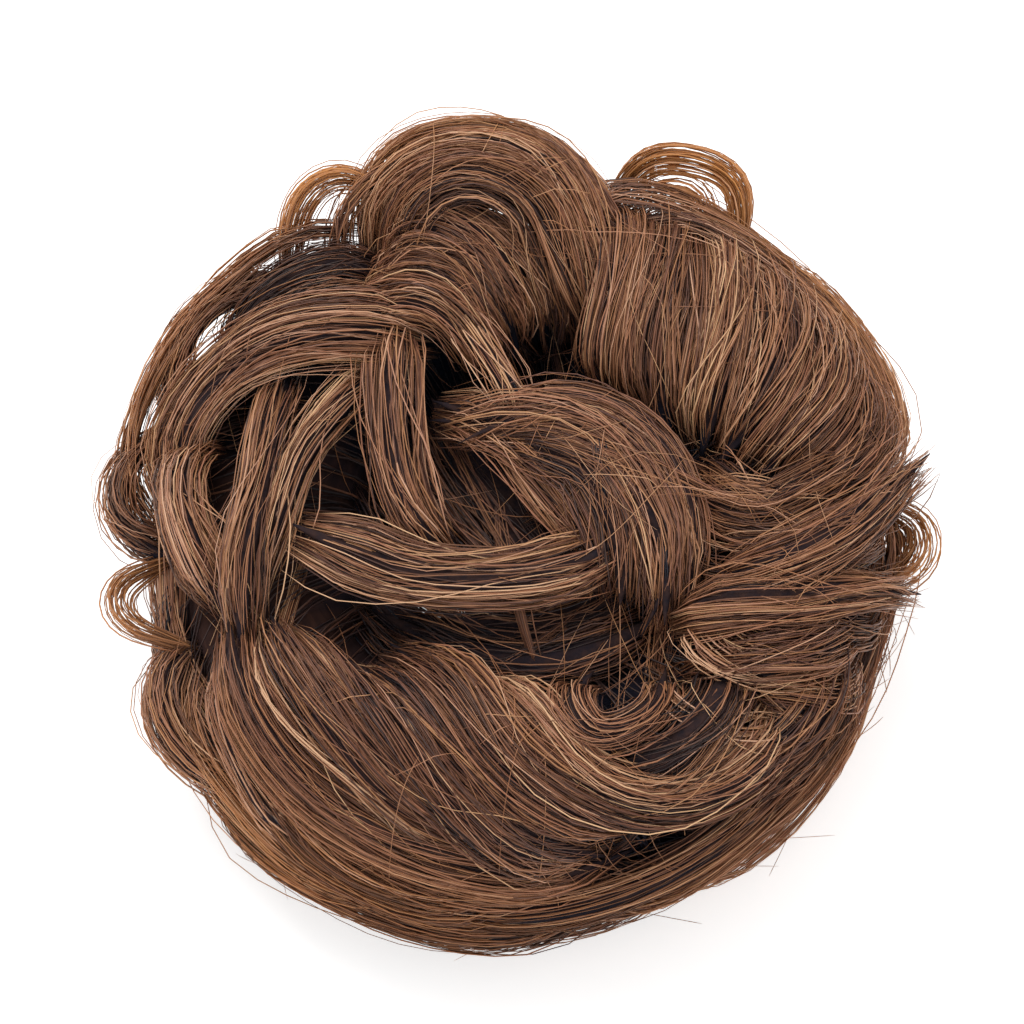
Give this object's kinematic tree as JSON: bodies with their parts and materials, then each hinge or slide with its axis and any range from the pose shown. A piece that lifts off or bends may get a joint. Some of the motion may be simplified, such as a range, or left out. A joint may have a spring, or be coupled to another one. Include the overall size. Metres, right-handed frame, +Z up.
{
  "type": "messy bun hairpiece",
  "caption": "Ring of curled false hair on an elastic loop, with a tall arch of hair at the back and curls over the middle.",
  "frame": {"origin": "middle of the bounding box on the surface that the hairpiece lies on", "axes": "+Z up out of the hairpiece's top, +Y towards the tall arch at the back, +X towards the cut tufts"},
  "size_m": [0.1378, 0.134, 0.0577],
  "materials": {
    "elastic": "covered elastic cord",
    "ring_hair": "glossy chestnut fibre",
    "crown_hair": "glossy copper brown fibre",
    "tuft_hair": "cut fibre ends"
  },
  "bodies": {
    "root": {"elastic_band": "elastic", "hair_ring": "ring_hair", "crown_swirl": "crown_hair", "upper_tuft": "tuft_hair", "lower_tuft": "tuft_hair"}
  },
  "joints": []
}
